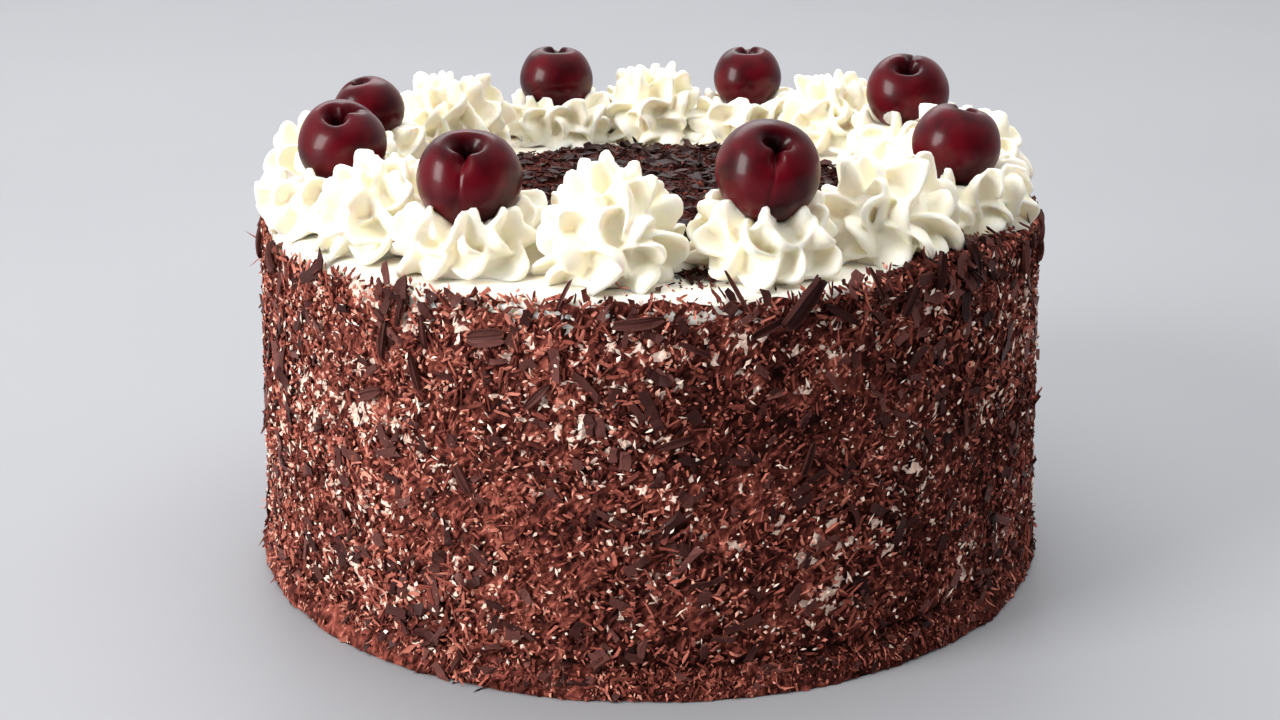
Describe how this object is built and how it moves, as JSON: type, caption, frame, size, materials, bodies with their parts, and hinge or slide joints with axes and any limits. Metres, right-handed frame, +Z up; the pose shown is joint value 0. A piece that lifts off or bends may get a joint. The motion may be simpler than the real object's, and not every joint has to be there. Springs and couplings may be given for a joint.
{
  "type": "black forest cake",
  "caption": "Whole tall round cake coated in chocolate shavings, topped with a ring of piped cream swirls, a cherry on every second swirl, and a bed of shavings in the middle.",
  "frame": {"origin": "middle of the cake's underside, on the surface it stands on", "axes": "+Z up; -Y is the front, +X the cake's right as seen from the front"},
  "size_m": [0.2194, 0.2198, 0.1328],
  "materials": {
    "chocolate_coat": "matte coat of fine chocolate shavings",
    "chocolate_shavings": "satin dark chocolate shavings",
    "whipped_cream": "soft satin whipped cream",
    "cherry_skin": "glossy dark cherry skin"
  },
  "bodies": {
    "root": {"cake_body": "chocolate_coat", "foot_shavings": "chocolate_shavings", "cream_layer": "whipped_cream", "centre_shavings": "chocolate_shavings", "swirl_1": "whipped_cream", "swirl_2": "whipped_cream", "swirl_3": "whipped_cream", "swirl_4": "whipped_cream", "swirl_5": "whipped_cream", "swirl_6": "whipped_cream", "swirl_7": "whipped_cream", "swirl_8": "whipped_cream", "cherry_swirl_1": "whipped_cream", "cherry_swirl_2": "whipped_cream", "cherry_swirl_3": "whipped_cream", "cherry_swirl_4": "whipped_cream", "cherry_swirl_5": "whipped_cream", "cherry_swirl_6": "whipped_cream", "cherry_swirl_7": "whipped_cream", "cherry_swirl_8": "whipped_cream", "cherry_1": "cherry_skin", "cherry_2": "cherry_skin", "cherry_3": "cherry_skin", "cherry_4": "cherry_skin", "cherry_5": "cherry_skin", "cherry_6": "cherry_skin", "cherry_7": "cherry_skin", "cherry_8": "cherry_skin"}
  },
  "joints": []
}
